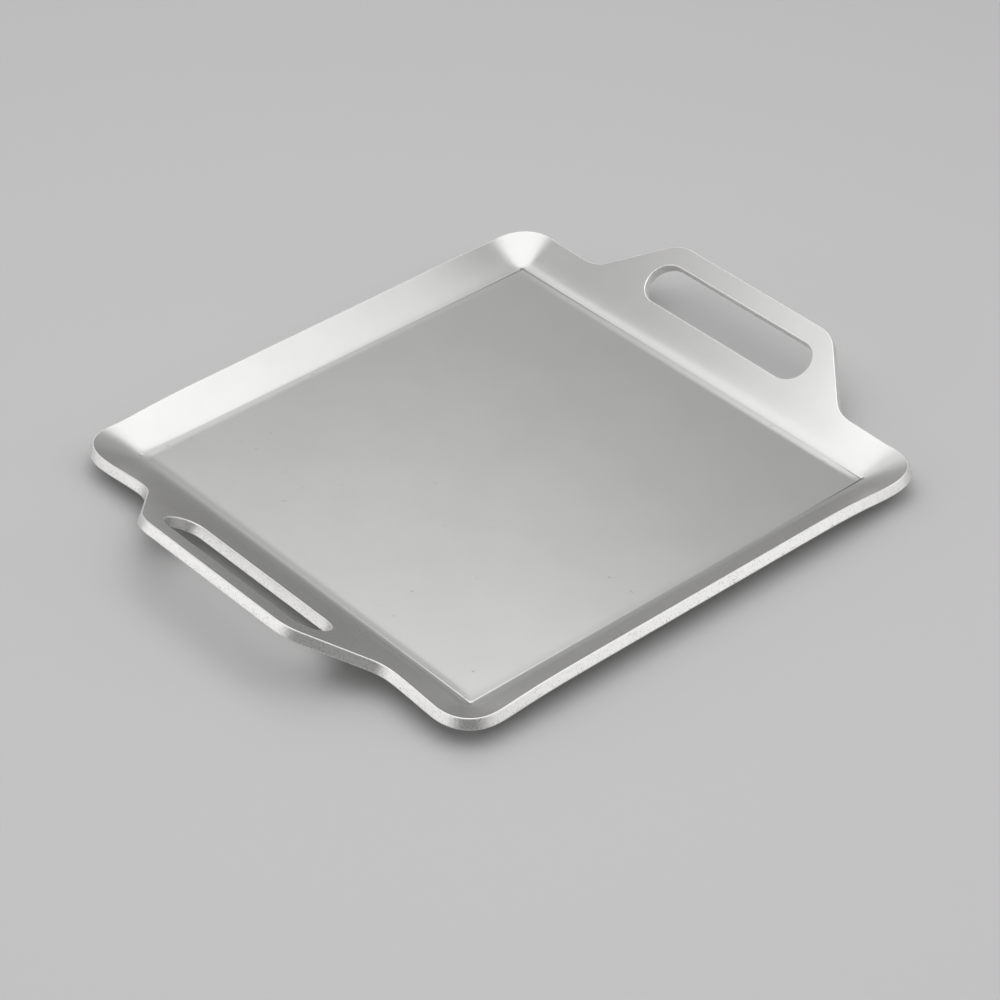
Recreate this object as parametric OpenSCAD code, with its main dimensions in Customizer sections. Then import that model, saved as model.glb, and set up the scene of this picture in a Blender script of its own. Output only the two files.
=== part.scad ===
// Camp griddle plate: one steel sheet, cut to its outline and pressed into a shallow tray.
// X runs across the two handles, Y along the plain sides, Z up. The origin is under the middle of the base.

/* [Sheet] */
// Thickness of the steel sheet
sheet_t = 4.5; // [2:0.1:6]
// Radius of the press bend, on the upper face
bend_r = 8; // [4:0.5:16]
// Slope of the walls and handles, in degrees from level
wall_angle = 30.5; // [15:0.5:50]

/* [Base] */
// Length of the flat base in X, between the press lines of the two handle sides
base_l = 200; // [120:1:400]
// Width of the flat base in Y, between the press lines of the two plain sides
base_w = 197; // [180:1:400]
// Straight slope of the wall, from the end of the bend to the rim
wall_slope = 13.7; // [6:0.1:30]

/* [Handles] */
// Length of the finger slot, over its round ends
slot_l = 90; // [60:1:110]
// Width of the finger slot, measured along the slope
slot_w = 18.3; // [14:0.1:26]
// Width of the sheet left round the slot as a grip
grip_w = 9.1; // [6:0.1:14]
// Angle between the rim and the slanted sides of the handle, in degrees
side_angle = 45; // [35:1:70]
// Radius of the two outer corners of the handle
handle_corner_r = 15; // [6:0.5:18]
// Radius of the fillets where the handle leaves the rim
handle_root_r = 15; // [6:0.5:20]

/* [Hidden] */
$fn = 96;

// The handle reaches past the rim by the slot and the grip outside it
handle_reach = slot_w + grip_w;
// The slanted side runs past the slot's round end with the same grip width as the outer edge
slot_end_u = slot_l / 2 - slot_w / 2;
slot_mid_s = slot_w / 2;
side_line = slot_end_u * sin(side_angle) + slot_mid_s * cos(side_angle) + slot_w / 2 + grip_w;
handle_root_u = side_line / sin(side_angle);
handle_top_u = (side_line - handle_reach * cos(side_angle)) / sin(side_angle);
// A cut runs this far past the sheet
cut_past = 2 * sheet_t;
// The blank of a wall, below the rim, reaches inward past its whole bend
blank_depth = 2 * (wall_slope + bend_r + sheet_t);
blank_w = base_w + 2 * cut_past;

// Section of the bent sheet from the press line outward: the bend, then a straight slope.
// Its first axis points outward from the press line, and its second axis points up.
module bent_section(slope) {
    ring_r = bend_r + sheet_t;
    section_w = ring_r + slope;
    translate([0, ring_r])
        intersection() {
            rotate(wall_angle) {
                intersection() {
                    difference() {
                        circle(r = ring_r);
                        circle(r = bend_r);
                    }
                    translate([-section_w, -section_w])
                        square([section_w, section_w]);
                }
                translate([0, -ring_r])
                    square([slope, sheet_t]);
            }
            translate([0, -section_w])
                square([2 * section_w, 2 * section_w]);
        }
}

// Finger slot with round ends. Its inner edge is in line with the rim.
module slot_outline() {
    translate([-slot_end_u, 0])
        square([2 * slot_end_u, slot_w]);
    for (end = [-1, 1])
        translate([end * slot_end_u, slot_mid_s])
            circle(d = slot_w);
}

// Flat outline of a handle side: all of the wall below the rim, and the slotted handle above it.
// Its first axis runs along the rim, and its second axis up the slope.
module handle_blank() {
    root_run = handle_root_r * tan(side_angle / 2);
    corner_run = handle_corner_r * tan(side_angle / 2);
    half = [
        [handle_root_u + root_run, 0],
        [handle_root_u - root_run * cos(side_angle), root_run * sin(side_angle)],
        [handle_top_u + corner_run * cos(side_angle), handle_reach - corner_run * sin(side_angle)],
        [handle_top_u - corner_run, handle_reach]
    ];
    other_half = [for (i = [3:-1:0]) [-half[i][0], half[i][1]]];
    difference() {
        union() {
            translate([-blank_w / 2, -blank_depth])
                square([blank_w, blank_depth]);
            polygon(concat(half, other_half));
            for (side = [-1, 1])
                translate([side * (handle_top_u - corner_run), handle_reach - handle_corner_r])
                    circle(r = handle_corner_r);
        }
        for (side = [-1, 1])
            translate([side * (handle_root_u + root_run), handle_root_r])
                circle(r = handle_root_r);
        slot_outline();
    }
}

// Straight wall along Y, with its press line at x = 0 and its slope towards +X.
module straight_wall(length, slope) {
    translate([0, length / 2, 0])
        rotate([90, 0, 0])
            linear_extrude(height = length)
                bent_section(slope);
}

// Wall with its handle: the bent sheet, trimmed square to its slope by the flat outline.
module handle_wall() {
    intersection() {
        straight_wall(base_w, wall_slope + handle_reach + cut_past);
        translate([0, 0, sheet_t + bend_r])
            rotate([0, -wall_angle, 0])
                translate([wall_slope, 0, -bend_r - sheet_t - cut_past])
                    linear_extrude(height = sheet_t + bend_r + 2 * cut_past)
                        rotate(-90)
                            handle_blank();
    }
}

// Quarter cone about the corner of the base, between +X and +Y.
module corner_cone() {
    rotate_extrude(angle = 90)
        bent_section(wall_slope);
}

module base_panel() {
    color("darkgray")
        translate([-base_l / 2, -base_w / 2, 0])
            cube([base_l, base_w, sheet_t]);
}

module left_handle_wall() {
    color("silver")
        mirror([1, 0, 0])
            translate([base_l / 2, 0, 0])
                handle_wall();
}

module right_handle_wall() {
    color("silver")
        translate([base_l / 2, 0, 0])
            handle_wall();
}

module front_wall() {
    color("lightgray")
        translate([0, -base_w / 2, 0])
            rotate(-90)
                straight_wall(base_l, wall_slope);
}

module back_wall() {
    color("lightgray")
        translate([0, base_w / 2, 0])
            rotate(90)
                straight_wall(base_l, wall_slope);
}

module front_left_corner() {
    color("gainsboro")
        translate([-base_l / 2, -base_w / 2, 0])
            rotate(180)
                corner_cone();
}

module front_right_corner() {
    color("gainsboro")
        translate([base_l / 2, -base_w / 2, 0])
            rotate(270)
                corner_cone();
}

module back_right_corner() {
    color("gainsboro")
        translate([base_l / 2, base_w / 2, 0])
            corner_cone();
}

module back_left_corner() {
    color("gainsboro")
        translate([-base_l / 2, base_w / 2, 0])
            rotate(90)
                corner_cone();
}

base_panel();
left_handle_wall();
right_handle_wall();
front_wall();
back_wall();
front_left_corner();
front_right_corner();
back_right_corner();
back_left_corner();
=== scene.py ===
"""Camp griddle plate: one pressed steel sheet, drawn without seams, on a plain pale floor."""
import math

import bmesh
import bpy
import numpy as np
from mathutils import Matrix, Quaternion, Vector


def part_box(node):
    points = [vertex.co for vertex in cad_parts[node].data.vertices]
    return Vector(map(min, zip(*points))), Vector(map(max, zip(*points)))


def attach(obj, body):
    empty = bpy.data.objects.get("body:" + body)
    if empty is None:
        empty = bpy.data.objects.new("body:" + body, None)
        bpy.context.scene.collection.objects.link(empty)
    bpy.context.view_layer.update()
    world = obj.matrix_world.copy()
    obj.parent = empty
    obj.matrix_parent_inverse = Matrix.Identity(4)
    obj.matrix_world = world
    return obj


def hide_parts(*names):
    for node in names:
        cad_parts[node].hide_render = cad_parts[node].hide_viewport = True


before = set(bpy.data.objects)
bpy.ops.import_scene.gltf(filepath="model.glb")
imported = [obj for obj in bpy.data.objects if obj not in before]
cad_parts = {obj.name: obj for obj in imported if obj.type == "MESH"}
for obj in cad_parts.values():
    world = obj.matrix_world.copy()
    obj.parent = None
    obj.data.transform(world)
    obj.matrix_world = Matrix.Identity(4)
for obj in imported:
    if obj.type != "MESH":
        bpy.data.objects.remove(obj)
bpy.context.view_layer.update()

# Sizes that come from the frame, in metres
HALF_L, HALF_W, SHEET_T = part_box("base_panel")[1]
RIM_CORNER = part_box("back_wall")[1]
HANDLE_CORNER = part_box("right_handle_wall")[1]

# Press lines of the right, back, left and front sides: how far each lies inside its place in the frame
LINES_IN = (-0.0002, 0.0005, -0.0005, -0.0006)
LINES = tuple(half - moved for half, moved in zip((HALF_L, HALF_W, HALF_L, HALF_W), LINES_IN))
# The left line lies askew: its back end is this far inside that place, and its front end as far outside
SKEW_LEFT = 0.0006

# Section of the press bend. The sheet starts to rise a little inside the press line: over the lead's run, up
# to its own angle on each side, and then evenly over the lead's flat. On the right and back sides the angle is
# less towards the corner where the two meet, and the bend starts with a crease: the grade rises by this much
# more, over the crease's short run.
WALL_ANGLE = math.radians(30.5)
LEAD_RIGHT, LEAD_BACK, LEAD_LEFT, LEAD_FRONT = (math.radians(a) for a in (5.2, 3.2, 4.5, 1.5))
LEAD_FALL_RIGHT, LEAD_FALL_BACK = (math.radians(a) for a in (2.7, 1.7))
LEAD_RUN = 0.0028
LEAD_FLAT_X, LEAD_FLAT_Y = 0.0018, 0.0010
LEAD_BLEND = 0.010
CREASE_RIGHT, CREASE_BACK = 0.07, 0.15
CREASE_RUN = 0.0007
RIM_OUT = RIM_CORNER.y - HALF_W - SHEET_T * math.sin(WALL_ANGLE)
RIM_UP = RIM_CORNER.z - SHEET_T

# Towards a corner the bend is wider and the walls lean out further, each corner by its own angle. The rim
# swells in each corner's middle, by these widths at the back right, back left, front left and front right.
EASE_BACK_RIGHT, EASE_FRONT_RIGHT = math.radians(2.0), math.radians(7.9)
EASE_BACK_LEFT, EASE_FRONT_LEFT = math.radians(8.4), math.radians(5.5)
EASE_SPREAD = 0.0235
BEND_WIDER = 0.3
CORNER_ARC = RIM_OUT * math.pi / 4
SWELLS = (0.0001, 0.0010, 0.0010, 0.0010)
# The cone that turns one wall into the next has its tip inside the corner of the press lines, by its own
# distance at each corner. At both ends of the cone's quarter the turn sets in over this angle to each side.
TIP_BACK_RIGHT, TIP_FRONT_RIGHT = 0.0025, 0.0037
TIP_BACK_LEFT, TIP_FRONT_LEFT = 0.0037, 0.0012
TURN_SPREAD = math.radians(20)
# Beside a handle the rim runs a little further out than on the plain sides, most of all at the corners
RIM_MORE = 0.0009
RIM_LESS = 0.0004

# Mark of the press tool's edge: a groove, deepest at the corners of the base and deeper on the right. It
# fades out along the right side to the front, along the left side to the back, and along the back to the
# left. Each corner has a dent, weaker at the back left. The dents and parts of the groove also get painted
# shade: a dark colour that stands in for the shade that falls in them.
GROOVE_DEPTH = 0.00009
GROOVE_HALF = 0.00025
GROOVE_MORE = 0.5
GROOVE_TURN = 0.6
NEAR_SHARE = 0.6
NEAR_FADE = 0.022
FAR_FADE = 0.060
DENT_DEPTH = 0.0005
DENT_R = 0.0006
DENT_BACK_LEFT = 0.2
# Painted shade in the groove and dents: its half width, and its strength on the right side, the back, the
# front and in the dents
PAINTED_SHADE_HALF = 0.00035
PAINTED_SHADE_RIGHT, PAINTED_SHADE_BACK, PAINTED_SHADE_FRONT, PAINTED_SHADE_DENT = 0.35, 0.5, 1.0, 0.8

# Handle outline, in the plane of the slope
SLOT_L = 0.090
SLOT_W = 0.0183
SIDE_ANGLE = math.radians(45)
HANDLE_CORNER_R = 0.015
HANDLE_ROOT_R = 0.015
HANDLE_OUT = HANDLE_CORNER.x - HALF_L - SHEET_T * math.sin(WALL_ANGLE)
HANDLE_REACH = (HANDLE_OUT - RIM_OUT) / math.cos(WALL_ANGLE)
GRIP_W = HANDLE_REACH - SLOT_W
SLOT_R = SLOT_W / 2
SLOT_END = SLOT_L / 2 - SLOT_R
SIDE_LINE = SLOT_END * math.sin(SIDE_ANGLE) + SLOT_R * math.cos(SIDE_ANGLE) + SLOT_R + GRIP_W
TURN_RUN = math.tan(SIDE_ANGLE / 2)
ROOT_U = SIDE_LINE / math.sin(SIDE_ANGLE) + HANDLE_ROOT_R * TURN_RUN
TOP_U = (SIDE_LINE - HANDLE_REACH * math.cos(SIDE_ANGLE)) / math.sin(SIDE_ANGLE) - HANDLE_CORNER_R * TURN_RUN
TOP_S = HANDLE_REACH - HANDLE_CORNER_R

# Cut edges are square to the sheet, and lightly rounded
EDGE_R = 0.00045
EDGE_STEPS = 4

# Mesh rows on each side of the press line, in metres from it, and counts of rows and steps further out
LINE_ROWS = (0.0, 0.0001, 0.0002, 0.00032, 0.00046, 0.00065, 0.0009, 0.0012, 0.0016)
LEAD_ROWS = (0.0020, 0.0025, 0.0030, 0.0036, 0.0042, 0.0052)
BEND_END = 0.0065
BASE_STEP = 0.007
BEND_ROWS = 9
WALL_ROWS = 4
CORNER_STEPS = 30
SLOT_STEPS = 12
TURN_STEPS = 8
LEAST_GAP = 0.00005
WELD_GAP = 1e-6
NORMAL_STEP = 0.00001
LEAST_REACH = 1e-9

# Steel: colours, sizes of the patterns as counts per metre, and the ranges and strengths they are used with
FACE_DARK, FACE_PALE = (0.602, 0.600, 0.592, 1), (0.638, 0.636, 0.627, 1)
# Dark colour of the painted shade in the press groove and dents
PAINTED_SHADE_COLOUR = (0.13, 0.125, 0.12, 1)
FACE_ROUGHNESS = (0.25, 0.27)
NOISE_RANGE = (0.3, 0.7)
CLOUD_SCALE = 22.0
GRAIN_SCALE = 3200.0
GRAIN_BUMP = 0.014
NICK_SCALE = 80.0
NICK_SIZE = (0.018, 0.065)
NICK_CHANCE = (0.45, 1.0)
NICK_LEVEL = (SHEET_T + 0.0002, SHEET_T + 0.0008)
NICK_DARK = 0.14
NICK_BUMP = 0.32
FACE_BUMP_DEPTH = 0.0001
CUT_PIT, CUT_PALE = (0.42, 0.415, 0.405, 1), (0.88, 0.875, 0.86, 1)
CUT_ROUGHNESS = (0.44, 0.30)
CUT_BUMP = 0.4
SCORE_SCALE = (1600.0, 160.0, 1.0)
SCORE_DEPTH = 0.0002
PIT_SCALE = 2000.0
PIT_RANGE = (0.34, 0.43)
PIT_BY_DEPTH = (0.035, -0.02)
PIT_DEPTH = 0.0003

# Camera of the photograph
SENSOR_MM = 36
LENS_MM = 124.36
CLIP_END = 100
CAMERA_DISTANCE = 1.328
CAMERA_AZIMUTH = math.radians(41.49)
CAMERA_ELEVATION = math.radians(37.25)
CAMERA_TARGET = Vector((-0.01373, -0.01630, 0.0045))

FLOOR_HALF = 6.0
FLOOR_COLOUR = (0.55, 0.55, 0.55, 1)
FLOOR_ROUGHNESS = 0.6

# Height of the light boxes that hang level, and the place that the other boxes face
CEILING = 1.0
PLATE_MIDDLE = (0, 0, 0.01)

# The room gets darker towards the front, and in a part low behind the right handle. Over each reach, in
# cosines of the angle from that direction, the level goes from its first value to its second.
FRONT_SIDE = (-math.sin(CAMERA_AZIMUTH), -math.cos(CAMERA_AZIMUTH), 0)
FRONT_REACH, FRONT_LEVELS = (0.2, 0.9), (0.46, 0.08)
DARK_SIDE = (0.8305, 0.5393, 0.139)
DARK_REACH, DARK_LEVELS = (0.93, 0.99), (1.0, 0.76)


def bend_run(start, flat, crease, rim_out):
    """Width of the bend, outside the press line, with which the slope ends at the rim."""
    lead_rise = start * (LEAD_RUN / 2 + flat) - crease * CREASE_RUN
    grade = math.tan(WALL_ANGLE)
    return 3 * (lead_rise + rim_out * grade - RIM_UP) / (grade - start - crease)


def section(d, angle, lead, flat, crease, rim_out, wider):
    """Height of the upper face over the base, at the distance d outside the press line.

    The grade rises along a parabola, so the bend is tightest at the press line and runs out into the wall.
    """
    part = np.clip((d + flat + LEAD_RUN) / LEAD_RUN, 0, 1)
    rise = LEAD_RUN * (part ** 3 - part ** 4 / 2) + np.clip(d + flat, 0, flat)
    start = np.tan(lead)
    grade = np.tan(angle)
    run = bend_run(start, flat, crease, rim_out) * wider
    part = np.clip(d / run, 0, 1)
    creased = start + crease
    bend = run * (creased * part + (grade - creased) * (part - (1 - (1 - part) ** 3) / 3))
    softened = crease * CREASE_RUN * (1 - np.exp(-np.maximum(d, 0) / CREASE_RUN))
    return start * rise + bend + np.maximum(d - run, 0) * grade - softened


def nearest_lines(x, y):
    """Places of the nearest of the right and left press lines, and of the back and front ones."""
    left = LINES[2] - SKEW_LEFT * np.clip(y / HALF_W, -1, 1)
    return np.where(x > 0, LINES[0], left), np.where(y > 0, LINES[1], LINES[3])


def inside(x, y):
    """Distances inside the nearest of the right and left press lines, and of the back and front ones."""
    line_x, line_y = nearest_lines(x, y)
    return line_x - np.abs(x), line_y - np.abs(y)


def wall_angle(x, y, from_corner):
    """Slope of the wall, at a distance along the rim from the middle of the nearest corner."""
    right = np.where(y > 0, EASE_BACK_RIGHT, EASE_FRONT_RIGHT)
    left = np.where(y > 0, EASE_BACK_LEFT, EASE_FRONT_LEFT)
    return WALL_ANGLE - np.where(x > 0, right, left) * np.exp(-(from_corner / EASE_SPREAD) ** 2)


def turned(angle):
    """Distance outside the cone's own lines, as a share of that from its tip, at an angle round it."""
    def lift(from_start):
        late = np.maximum(from_start - TURN_SPREAD, 0)
        early = np.maximum(from_start + TURN_SPREAD, 0)
        return (early - np.sin(early) - late + np.sin(late)) / (2 * math.sin(TURN_SPREAD))
    return np.cos(angle) + lift(angle) - lift(angle - math.pi / 2)


def from_tip(x, y):
    """Depth of the nearest cone tip inside the press lines, and of a place inside the lines through it."""
    right = np.where(y > 0, TIP_BACK_RIGHT, TIP_FRONT_RIGHT)
    left = np.where(y > 0, TIP_BACK_LEFT, TIP_FRONT_LEFT)
    tip = np.where(x > 0, right, left)
    a, b = inside(x, y)
    return tip, a - tip, b - tip


def outside(x, y):
    """Distance outside the press line, which turns round the tips of the corner cones."""
    tip, a, b = from_tip(x, y)
    reach = np.maximum(np.hypot(a, b), LEAST_REACH)
    round_tip = reach * turned(np.arctan2(0.0 - b, 0.0 - a))
    return np.where((a > 0) & (b > 0), -a * b / reach, round_tip) - tip


def from_line(x, y):
    """Distance outside the press line itself, which turns sharply at the corners of the base."""
    a, b = inside(x, y)
    return np.where((a > 0) & (b > 0), -np.minimum(a, b), np.hypot(np.minimum(a, 0), np.minimum(b, 0)))


def height(x, y, marked):
    """Height of the upper face over the table, with the press tool's mark or without it."""
    d = outside(x, y)
    _, a, b = from_tip(x, y)
    in_corner = (a < 0) & (b < 0)
    run = np.maximum(np.maximum(a, b), 0)
    turn = np.arctan2(np.minimum(np.abs(a), np.abs(b)), np.maximum(np.abs(a), np.abs(b)))
    from_corner = np.where(in_corner, CORNER_ARC * (1 - turn * 4 / math.pi), CORNER_ARC + run)
    lead_x = np.where(x > 0, LEAD_RIGHT - LEAD_FALL_RIGHT * np.clip(y / HALF_W, -1, 1), LEAD_LEFT)
    lead_y = np.where(y > 0, LEAD_BACK - LEAD_FALL_BACK * np.clip(x / HALF_L, -1, 1), LEAD_FRONT)
    line_x, line_y = nearest_lines(x, y)
    in_x = HALF_L - line_x
    in_y = HALF_W - line_y
    share_x = 0.5 + 0.5 * np.tanh((b - a) / LEAD_BLEND)
    lead = lead_y + share_x * (lead_x - lead_y)
    flat = LEAD_FLAT_Y + share_x * (LEAD_FLAT_X - LEAD_FLAT_Y)
    rim_out = RIM_OUT + in_y + share_x * (in_x - in_y)
    eased = np.exp(-(from_corner / EASE_SPREAD) ** 2)
    crease = np.where(y > 0, CREASE_BACK, 0) * (1 - share_x) + np.where(x > 0, CREASE_RIGHT, 0) * share_x
    wider = 1 + BEND_WIDER * eased
    angle = wall_angle(x, y, from_corner)
    z = SHEET_T + section(d, angle, lead, flat, crease * (1 - eased), rim_out, wider)
    if marked:
        fade, dent = press_mark(x, y)
        half = GROOVE_HALF * (1 + GROOVE_MORE * np.clip(x / HALF_L, 0, 1))
        on_x = np.clip(0.5 + GROOVE_TURN * np.sign(x) * y / HALF_W, 0, 1)
        on_y = np.where(y > 0, np.clip(0.5 + GROOVE_TURN * x / HALF_L, 0, 1), 1)
        fade = fade * (on_y + share_x * (on_x - on_y))
        groove = (half / GROOVE_HALF) ** 2 * fade * np.exp(-(from_line(x, y) / half) ** 2)
        z = z - GROOVE_DEPTH * groove - DENT_DEPTH * dent
    return z


def press_mark(x, y):
    """Strength of the groove in the press line nearest to a place, and the share of its corner's dent."""
    a, b = inside(x, y)
    run = np.maximum(np.maximum(a, b), 0)
    dent = np.where((x < 0) & (y > 0), DENT_BACK_LEFT, 1) * np.exp(-(a ** 2 + b ** 2) / DENT_R ** 2)
    fade = NEAR_SHARE * np.exp(-(run / NEAR_FADE) ** 2) + (1 - NEAR_SHARE) * np.exp(-(run / FAR_FADE) ** 2)
    return fade * (1 - dent), dent


def painted_press_mark_shade(x, y):
    """Painted shade in the dents and in parts of the groove, on the right side, the back and the front: a
    darkening that stands in for the shade that falls in them.
    """
    fade, dent = press_mark(x, y)
    a, b = inside(x, y)
    on_right = PAINTED_SHADE_RIGHT * np.clip(y / HALF_W, 0, 1)
    on_side = np.where(y > 0, PAINTED_SHADE_BACK, PAINTED_SHADE_FRONT) * np.clip(x / HALF_L, 0, 1)
    share = np.where(a < b, np.where(x > 0, on_right, 0), on_side)
    return np.maximum(share * fade * np.exp(-(from_line(x, y) / PAINTED_SHADE_HALF) ** 2), PAINTED_SHADE_DENT * dent)


def normal(x, y, marked):
    """Unit normal of the upper face."""
    step = NORMAL_STEP
    slope_x = (height(x + step, y, marked) - height(x - step, y, marked)) / (2 * step)
    slope_y = (height(x, y + step, marked) - height(x, y - step, marked)) / (2 * step)
    n = np.stack([-slope_x, -slope_y, np.ones_like(slope_x)], -1)
    return n / np.linalg.norm(n, axis=-1, keepdims=True)


class Skin:
    """Grids of points that make up the sheet's surface."""

    def __init__(self):
        self.places, self.normals, self.spots, self.painted_shade_values = [], [], [], []
        self.faces, self.kinds = [], []

    def grid(self, places, normals, kind, spots, painted_shade_values):
        """Faces of one kind over a grid of points, with their pattern places and painted shade."""
        rows, columns = places.shape[:2]
        first = len(self.places)
        self.places.extend(places.reshape(-1, 3).tolist())
        self.normals.extend(normals.reshape(-1, 3).tolist())
        self.spots.extend(spots.reshape(-1, 2).tolist())
        self.painted_shade_values.extend(painted_shade_values.ravel().tolist())
        side = np.cross(places[1:, :-1] - places[:-1, :-1], places[:-1, 1:] - places[:-1, :-1])
        outward = (side * normals[:-1, :-1]).sum() > 0
        for i in range(rows - 1):
            for j in range(columns - 1):
                at = first + i * columns + j
                face = [at, at + columns, at + columns + 1, at + 1]
                self.faces.append(face if outward else face[::-1])
                self.kinds.append(kind)

    def sheet(self, x, y):
        """Both faces of the sheet over a grid of plan points."""
        upper = np.stack([x, y, height(x, y, True)], -1)
        smooth = normal(x, y, False)
        lower = np.stack([x, y, height(x, y, False)], -1) - SHEET_T * smooth
        spots = np.stack([x, y], -1)
        # The upper face carries the painted shade of the press groove and dents, the lower face none
        self.grid(upper, normal(x, y, True), 0, spots, painted_press_mark_shade(x, y))
        self.grid(lower, -smooth, 0, spots, np.zeros_like(x))

    def edge(self, x, y):
        """Rounded cut edge along a closed line of plan points, which has the sheet on its left."""
        top = np.stack([x, y, height(x, y, False)], -1)
        n = normal(x, y, False)
        run = np.concatenate([[0], np.cumsum(np.linalg.norm(np.diff(top, axis=0), axis=1))])
        round_trip = np.concatenate([run[-2:-1] - run[-1], run, run[-1] + run[1:2]])
        tangent = np.gradient(np.concatenate([top[-2:-1], top, top[1:2]]), round_trip, axis=0)[1:-1]
        outward = np.cross(tangent, n)
        outward /= np.linalg.norm(outward, axis=1, keepdims=True)
        rings = []
        for turn in np.radians(np.linspace(0, 90, EDGE_STEPS + 1)):
            across, up = math.sin(turn), math.cos(turn)
            rings.append((EDGE_R * across, EDGE_R * (1 - up), across, up))
        rings.append((EDGE_R, SHEET_T / 2, 1, 0))
        rings += [(out, SHEET_T - deep, across, -up) for out, deep, across, up in rings[EDGE_STEPS::-1]]
        places = np.stack([top + out * outward - deep * n for out, deep, _, _ in rings])
        normals = np.stack([across * outward + up * n for _, _, across, up in rings])
        spots = np.stack([np.stack([run, np.full_like(run, deep)], -1) for _, deep, _, _ in rings])
        self.grid(places, normals, 1, spots, np.zeros(places.shape[:2]))

    def piece(self, name):
        """The grids welded into one object, with the sheet's own normals."""
        mesh = bpy.data.meshes.new(name)
        mesh.from_pydata(self.places, [], self.faces)
        kept = mesh.attributes.new("sheet_normal", "FLOAT_VECTOR", "POINT")
        kept.data.foreach_set("vector", np.array(self.normals, np.float32).ravel())
        # Painted shade of the press groove and dents, kept per point for the face material to darken its
        # colour
        dark = mesh.attributes.new("painted_press_mark_shade", "FLOAT", "POINT")
        dark.data.foreach_set("value", self.painted_shade_values)
        uv = mesh.uv_layers.new(name="sheet_run")
        spots = np.array(self.spots, np.float32)[[loop.vertex_index for loop in mesh.loops]]
        uv.data.foreach_set("uv", spots.ravel())
        mesh.polygons.foreach_set("material_index", self.kinds)
        joined = bmesh.new()
        joined.from_mesh(mesh)
        bmesh.ops.remove_doubles(joined, verts=joined.verts, dist=WELD_GAP)
        joined.to_mesh(mesh)
        joined.free()
        mesh.shade_smooth()
        normals = np.zeros(len(mesh.vertices) * 3, np.float32)
        mesh.attributes["sheet_normal"].data.foreach_get("vector", normals)
        mesh.attributes.remove(mesh.attributes["sheet_normal"])
        mesh.normals_split_custom_set_from_vertices(normals.reshape(-1, 3))
        made = bpy.data.objects.new(name, mesh)
        bpy.context.scene.collection.objects.link(made)
        return made


def handle_edge(u):
    """Outer edge of a handle side, drawn in by the edge's rounding, as places up the slope from the rim."""
    flat = np.abs(u)
    root = HANDLE_ROOT_R + EDGE_R
    top = HANDLE_CORNER_R - EDGE_R
    past_top = np.clip(flat - TOP_U, 0, top * math.sin(SIDE_ANGLE))
    to_root = np.clip(ROOT_U - flat, 0, root * math.sin(SIDE_ANGLE))
    s_top = TOP_S + np.sqrt(top ** 2 - past_top ** 2)
    s_root = HANDLE_ROOT_R - np.sqrt(root ** 2 - to_root ** 2)
    s_side = (SIDE_LINE - EDGE_R - flat * math.sin(SIDE_ANGLE)) / math.cos(SIDE_ANGLE)
    on_top = flat <= TOP_U + top * math.sin(SIDE_ANGLE)
    on_root = flat >= ROOT_U - root * math.sin(SIDE_ANGLE)
    return np.where(on_top, s_top, np.where(on_root, s_root, s_side))


def rim_share(u):
    """Share of the rim's extra width along a handle side: none on the handle, and all at the corners."""
    part = np.clip((np.abs(u) - ROOT_U) / (HANDLE_ROOT_R * math.sin(SIDE_ANGLE)) + 1, 0, 1)
    to_corner = np.clip((np.abs(u) - ROOT_U) / (min(LINES) - ROOT_U), 0, 1)
    return part * part * (3 - 2 * part) * (1 - RIM_LESS / RIM_MORE * (1 - to_corner))


def slot_edge(u, side):
    """Inner edge (side -1) or outer edge (side 1) of a finger slot, as places up the slope from the rim."""
    ring = SLOT_R + EDGE_R
    past = np.clip(np.abs(u) - SLOT_END, 0, ring)
    return SLOT_R + side * np.sqrt(ring ** 2 - past ** 2)


def handle_columns():
    """Places along a handle side where its outline turns, from the middle outward."""
    quarter = np.sin(np.radians(np.linspace(0, 90, SLOT_STEPS + 1)))
    turn = np.sin(np.linspace(0, SIDE_ANGLE, TURN_STEPS + 1))
    wanted = np.concatenate([
        SLOT_END + (SLOT_R + EDGE_R) * quarter,
        TOP_U + (HANDLE_CORNER_R - EDGE_R) * turn,
        ROOT_U - (HANDLE_ROOT_R + EDGE_R) * turn,
        np.arange(0, SLOT_END - BASE_STEP / 2, BASE_STEP / 2),
        np.arange(ROOT_U + BASE_STEP / 2, HALF_W - LEAD_ROWS[-1] - BASE_STEP / 2, BASE_STEP / 2),
    ])
    kept = []
    for value in wanted:
        if all(abs(value - other) > LEAST_GAP for other in kept):
            kept.append(value)
    return np.array(kept)


def both_halves(values, low, high):
    """Columns of both halves of a side, with the rows close inside the press lines at its two ends."""
    near_end = np.array(LINE_ROWS + LEAD_ROWS)
    return np.unique(np.concatenate([-values, values, near_end - low, high - near_end]).round(9))


def bend_rows(end):
    """Rows of the bend, from the press line out to where the rows of the slope start, for each column."""
    further = np.linspace(LINE_ROWS[-1], end, BEND_ROWS + 1)[1:]
    return np.concatenate([np.array(LINE_ROWS)[:, None] + 0 * end, further])


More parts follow.
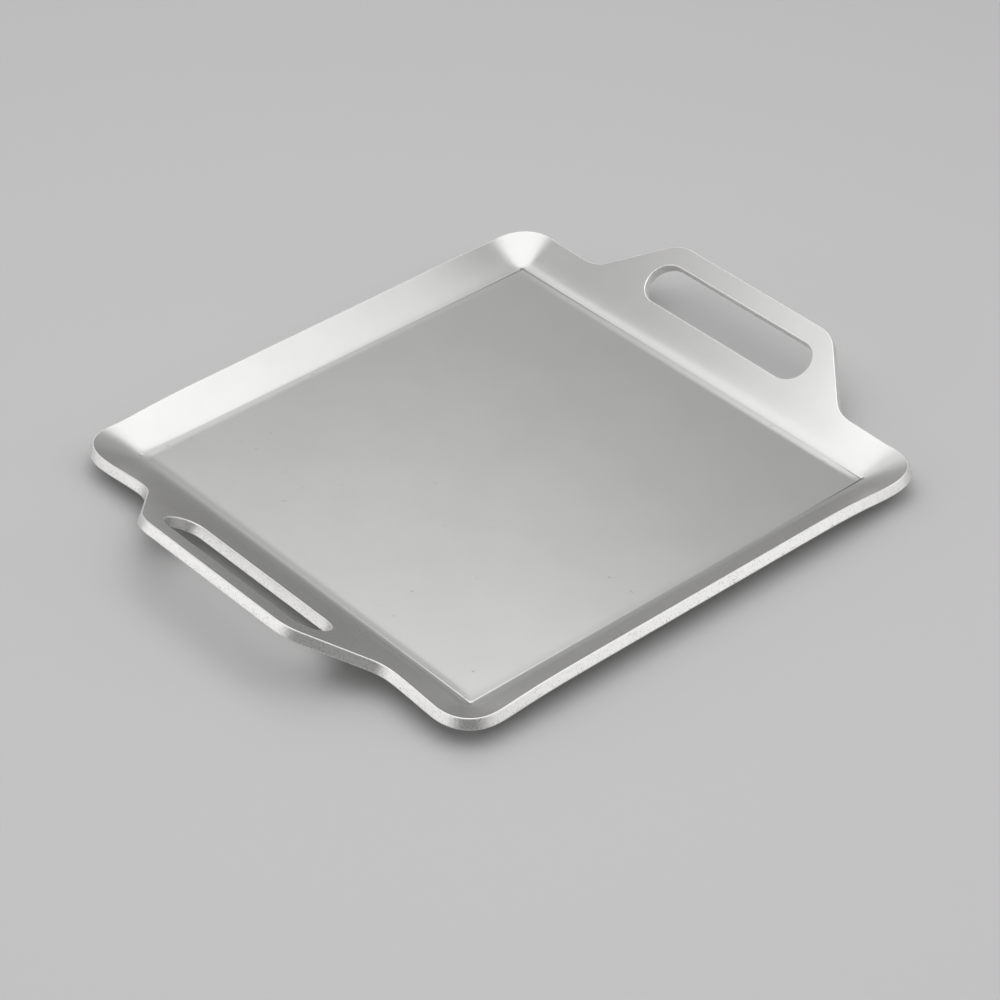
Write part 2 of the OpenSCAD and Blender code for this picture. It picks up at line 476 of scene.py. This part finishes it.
def make_plate():
    """The whole plate as one continuous skin: base, bends, walls, corners, handles and cut edges."""
    skin = Skin()
    columns_y = both_halves(handle_columns(), LINES[3], LINES[1])
    columns_x = both_halves(np.arange(0, HALF_L - LEAD_ROWS[-1], BASE_STEP), LINES[2], LINES[0])
    skin.sheet(*np.meshgrid(columns_x, columns_y, indexing="ij"))

    cos_wall = math.cos(WALL_ANGLE)
    bend_s = (BEND_END - RIM_OUT) / cos_wall
    tip = SLOT_END + SLOT_R + EDGE_R
    tip_share = (SLOT_R - bend_s) / (handle_edge(np.array(tip)) - bend_s)
    part_rows = np.linspace(0, 1, WALL_ROWS)
    rows = np.concatenate([part_rows * tip_share, tip_share + part_rows[1:] * (1 - tip_share)])
    turn = np.linspace(0, math.pi / 2, CORNER_STEPS + 1)
    turn_place = CORNER_ARC * np.abs(1 - turn * 4 / math.pi)
    outline = []
    for k in range(4):
        out = np.array([math.cos(k * math.pi / 2), math.sin(k * math.pi / 2)]).round()
        along = np.array([-out[1], out[0]])
        line, line_before, line_after = LINES[k], LINES[k - 1], LINES[(k + 1) % 4]
        columns = (columns_y, -columns_x[::-1], -columns_y[::-1], columns_x)[k]
        bend_end = BEND_END + LINES_IN[k]

        def plan(u, d):
            """Plan points at places along the side and distances outside its press line."""
            places = (line + d)[..., None] * out + u[..., None] * along
            return places[..., 0], places[..., 1]

        from_corner = CORNER_ARC + np.where(columns > 0, line_after, line_before) - np.abs(columns)
        ease = np.cos(wall_angle(*plan(columns, 0 * columns), from_corner)) / cos_wall

        def slope(which, s):
            """Plan points at places up the slope, in the chosen columns."""
            d = bend_end + (s - bend_s) * cos_wall * ease[which]
            return plan(np.broadcast_to(columns[which], d.shape), d)

        def strip(which, low, high, shares):
            """Part of the slope between two lines."""
            skin.sheet(*slope(which, low + shares[:, None] * (high - low)))

        side_rows = bend_rows(np.full_like(columns, bend_end))
        skin.sheet(*plan(np.broadcast_to(columns, side_rows.shape), side_rows))
        every = np.full(len(columns), True)
        if k % 2:
            rim = np.full_like(columns, -EDGE_R)
            strip(every, bend_s, rim, rows)
        else:
            rim = handle_edge(columns) + RIM_MORE * rim_share(columns)
            by_slot = np.abs(columns) <= tip + LEAST_GAP / 2
            inner = slot_edge(columns[by_slot], -1)
            outer = slot_edge(columns[by_slot], 1)
            strip(by_slot, bend_s, inner, part_rows)
            strip(by_slot, outer, rim[by_slot], part_rows)
            first, last = np.flatnonzero(by_slot)[[0, -1]]
            for past in (np.arange(first + 1), np.arange(last, len(columns))):
                strip(past, bend_s, rim[past], rows)
            there = np.array(slope(by_slot, inner))
            back = np.array(slope(by_slot, outer))[:, ::-1]
            skin.edge(*np.concatenate([there, back[:, 1:]], axis=1))
        outline.append(np.array(slope(every, rim)))

        def fan(d):
            """Plan points round the next corner at distances from the corner of the press lines."""
            return plan(line_after + d * np.sin(turn), d * np.cos(turn))

        turn_end = bend_end + (BEND_END + LINES_IN[(k + 1) % 4] - bend_end) * turn / turn[-1]
        turn_angle = wall_angle(*fan(turn_end), turn_place)
        turn_reach = (RIM_OUT - BEND_END + SWELLS[k] * np.sin(2 * turn) ** 2) / cos_wall - EDGE_R
        turn_reach = turn_reach + RIM_MORE * (np.sin(turn) if k % 2 else np.cos(turn)) ** 2
        turn_rim = turn_end + turn_reach * np.cos(turn_angle)
        skin.sheet(*fan(bend_rows(turn_end)))
        skin.sheet(*fan(turn_end + rows[:, None] * (turn_rim - turn_end)))
        outline.append(np.array(fan(turn_rim))[:, 1:-1])
    outline.append(outline[0][:, :1])
    skin.edge(*np.concatenate(outline, axis=1))

    plate = skin.piece("griddle_plate")
    plate.data.materials.append(steel_face())
    plate.data.materials.append(steel_cut())
    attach(plate, "root")
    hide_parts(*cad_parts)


class Nodes:
    """Short way to add nodes to a material and link them."""

    def __init__(self, name):
        self.material = bpy.data.materials.new(name)
        self.material.use_nodes = True
        self.tree = self.material.node_tree
        self.shader = self.tree.nodes["Principled BSDF"]

    def add(self, kind, links=(), **values):
        node = self.tree.nodes.new(kind)
        for key, value in values.items():
            if key in node.inputs:
                node.inputs[key].default_value = value
            else:
                setattr(node, key, value)
        for socket, source in links:
            self.tree.links.new(source, node.inputs[socket])
        return node

    def noise(self, vector, scale, detail, rough):
        node = self.add("ShaderNodeTexNoise", [("Vector", vector)], Detail=detail, Roughness=rough)
        node.inputs["Scale"].default_value = scale
        return node.outputs["Fac"]

    def put(self, value, socket):
        """Give a socket a plain value, or a link from another socket."""
        if isinstance(value, bpy.types.NodeSocket):
            self.tree.links.new(value, socket)
        else:
            socket.default_value = value

    def spread(self, value, reach, levels=(0.0, 1.0)):
        """Value moved from a range into another one, and held at its ends."""
        node = self.add("ShaderNodeMapRange", [("Value", value)])
        for key, number in zip(("From Min", "From Max", "To Min", "To Max"), reach + levels):
            node.inputs[key].default_value = number
        return node.outputs["Result"]

    def combine(self, operation, *values):
        node = self.add("ShaderNodeMath", operation=operation)
        for socket, value in zip(node.inputs, values):
            self.put(value, socket)
        return node.outputs["Value"]

    def blend(self, share, first, second):
        """Colour between two others, by the share of the second."""
        node = self.add("ShaderNodeMix", [("Factor", share)], data_type="RGBA")
        self.put(first, node.inputs["A"])
        self.put(second, node.inputs["B"])
        return node.outputs[2]

    def bump(self, pattern, strength, depth, links=(), invert=False):
        node = self.add("ShaderNodeBump", [("Height", pattern), *links], Strength=strength, Distance=depth)
        node.invert = invert
        return node.outputs["Normal"]

    def set(self, socket, value):
        self.put(value, self.shader.inputs[socket])


def steel_face():
    """Satin face: a fine even grain, with faint clouds, nicks on the base, and painted shade in the press
    mark's groove and dents.
    """
    n = Nodes("satin_steel_face")
    place = n.add("ShaderNodeTexCoord").outputs["Object"]
    clouds = n.noise(place, CLOUD_SCALE, detail=6.0, rough=0.72)
    grain = n.noise(place, GRAIN_SCALE, detail=2.0, rough=0.6)
    clouded = n.blend(n.spread(clouds, NOISE_RANGE), FACE_DARK, FACE_PALE)
    cells = n.add("ShaderNodeTexVoronoi", [("Vector", place)], voronoi_dimensions="2D", Scale=NICK_SCALE)
    chance = n.add("ShaderNodeSeparateColor", [("Color", cells.outputs["Color"])]).outputs["Red"]
    spots = n.spread(cells.outputs["Distance"], NICK_SIZE, (1.0, 0.0))
    up = n.add("ShaderNodeSeparateXYZ", [("Vector", place)]).outputs["Z"]
    on_base = n.combine("MULTIPLY", spots, n.spread(up, NICK_LEVEL, (1.0, 0.0)))
    nicks = n.combine("MULTIPLY", on_base, n.spread(chance, NICK_CHANCE))
    # Painted shade: the groove and dents of the press mark are darkened in colour, standing in for the shade
    # that falls in them
    painted_shade_factor = n.add("ShaderNodeAttribute", attribute_name="painted_press_mark_shade").outputs["Fac"]
    dark = n.combine("MULTIPLY_ADD", nicks, NICK_DARK, painted_shade_factor)
    n.set("Base Color", n.blend(dark, clouded, PAINTED_SHADE_COLOUR))
    n.set("Metallic", 1.0)
    n.set("Roughness", n.spread(grain, NOISE_RANGE, FACE_ROUGHNESS))
    nicked = n.bump(nicks, NICK_BUMP, FACE_BUMP_DEPTH, invert=True)
    n.set("Normal", n.bump(grain, GRAIN_BUMP, FACE_BUMP_DEPTH, [("Normal", nicked)]))
    return n.material


def steel_cut():
    """Cut edge: pale and rough, with score lines across it and small dark pits, more of them low down."""
    n = Nodes("cut_steel_edge")
    run = n.add("ShaderNodeUVMap", uv_map="sheet_run").outputs["UV"]
    score_place = n.add("ShaderNodeMapping", [("Vector", run)], Scale=SCORE_SCALE).outputs["Vector"]
    scores = n.noise(score_place, 1.0, detail=2.0, rough=0.6)
    place = n.add("ShaderNodeTexCoord").outputs["Object"]
    pits = n.noise(place, PIT_SCALE, detail=3.0, rough=0.65)
    depth = n.add("ShaderNodeSeparateXYZ", [("Vector", run)]).outputs["Y"]
    whole = n.combine("ADD", pits, n.spread(depth, (0.0, SHEET_T), PIT_BY_DEPTH))
    n.set("Base Color", n.blend(n.spread(whole, PIT_RANGE), CUT_PIT, CUT_PALE))
    n.set("Metallic", 1.0)
    n.set("Roughness", n.spread(pits, NOISE_RANGE, CUT_ROUGHNESS))
    scored = n.bump(scores, CUT_BUMP, SCORE_DEPTH)
    n.set("Normal", n.bump(pits, CUT_BUMP, PIT_DEPTH, [("Normal", scored)]))
    return n.material


def make_floor():
    """Plain pale floor, level with the underside of the plate."""
    bpy.ops.mesh.primitive_plane_add(size=2 * FLOOR_HALF)
    floor = bpy.context.object
    floor.name = "floor"
    n = Nodes("pale_floor")
    n.set("Base Color", FLOOR_COLOUR)
    n.set("Roughness", FLOOR_ROUGHNESS)
    floor.data.materials.append(n.material)


def make_light(name, place, aim, size, radiance, turn=0.0):
    """Soft rectangular light of even brightness, turned about its own axis."""
    lamp = bpy.data.lights.new(name, "AREA")
    lamp.shape = "RECTANGLE"
    lamp.size, lamp.size_y = size
    lamp.energy = radiance * math.pi * size[0] * size[1]
    holder = bpy.data.objects.new(name, lamp)
    holder.location = place
    facing = (Vector(place) - Vector(aim)).to_track_quat("Z", "Y")
    holder.rotation_euler = (facing @ Quaternion((0, 0, 1), turn)).to_euler()
    holder.visible_camera = False
    bpy.context.scene.collection.objects.link(holder)


def make_lights():
    """Soft studio light: boxes overhead, boxes that face the plate, and a dim room, darker to the front."""
    def hang(name, x, y, size, radiance, turn=0.0):
        make_light(name, (x, y, CEILING), (x, y, 0.0), size, radiance, turn)

    def face_plate(name, place, size, radiance):
        make_light(name, place, PLATE_MIDDLE, size, radiance)

    hang("top_box", -0.05, -0.07, (1.5, 1.46), 1.10)
    hang("back_box", 0.362, 0.698, (0.55, 1.18), 0.55, -0.6)
    face_plate("far_box", (0.25, 1.95, 0.70), (0.9, 1.1), 0.34)
    face_plate("high_box", (0.055, 1.57, 1.42), (0.7, 0.45), 0.42)
    hang("corner_box", 0.68, 0.78, (0.30, 0.30), 0.9)
    face_plate("left_box", (-1.233, 0.524, 0.36), (1.74, 0.7), 0.92)
    face_plate("right_box", (0.72, -1.12, 0.50), (1.1, 1.0), 0.90)
    world = bpy.data.worlds.new("studio")
    bpy.context.scene.world = world
    world.use_nodes = True
    tree = world.node_tree
    sky = tree.nodes.new("ShaderNodeTexCoord").outputs["Generated"]

    def room_level(toward, reach, levels):
        """Level that goes smoothly from one value to another with the angle from a direction."""
        near = tree.nodes.new("ShaderNodeVectorMath")
        near.operation = "DOT_PRODUCT"
        near.inputs[1].default_value = toward
        tree.links.new(sky, near.inputs[0])
        level = tree.nodes.new("ShaderNodeMapRange")
        level.interpolation_type = "SMOOTHSTEP"
        for key, number in zip(("From Min", "From Max", "To Min", "To Max"), reach + levels):
            level.inputs[key].default_value = number
        tree.links.new(near.outputs["Value"], level.inputs["Value"])
        return level.outputs["Result"]

    strength = tree.nodes.new("ShaderNodeMath")
    strength.operation = "MULTIPLY"
    tree.links.new(room_level(FRONT_SIDE, FRONT_REACH, FRONT_LEVELS), strength.inputs[0])
    tree.links.new(room_level(DARK_SIDE, DARK_REACH, DARK_LEVELS), strength.inputs[1])
    tree.links.new(strength.outputs["Value"], tree.nodes["Background"].inputs["Strength"])
    tree.nodes["Background"].inputs["Color"].default_value = (1, 1, 1, 1)


def make_camera():
    """Camera at the photograph's viewing angle."""
    level = math.cos(CAMERA_ELEVATION)
    across, along = math.sin(CAMERA_AZIMUTH) * level, math.cos(CAMERA_AZIMUTH) * level
    ahead = Vector((across, along, -math.sin(CAMERA_ELEVATION)))
    lens = bpy.data.cameras.new("camera")
    lens.lens = LENS_MM
    lens.sensor_width = SENSOR_MM
    lens.clip_end = CLIP_END
    camera = bpy.data.objects.new("camera", lens)
    camera.location = CAMERA_TARGET - ahead * CAMERA_DISTANCE
    camera.rotation_euler = ahead.to_track_quat("-Z", "Y").to_euler()
    bpy.context.scene.collection.objects.link(camera)
    bpy.context.scene.camera = camera


make_camera()
make_plate()
make_floor()
make_lights()
bpy.context.scene.view_settings.view_transform = "Standard"
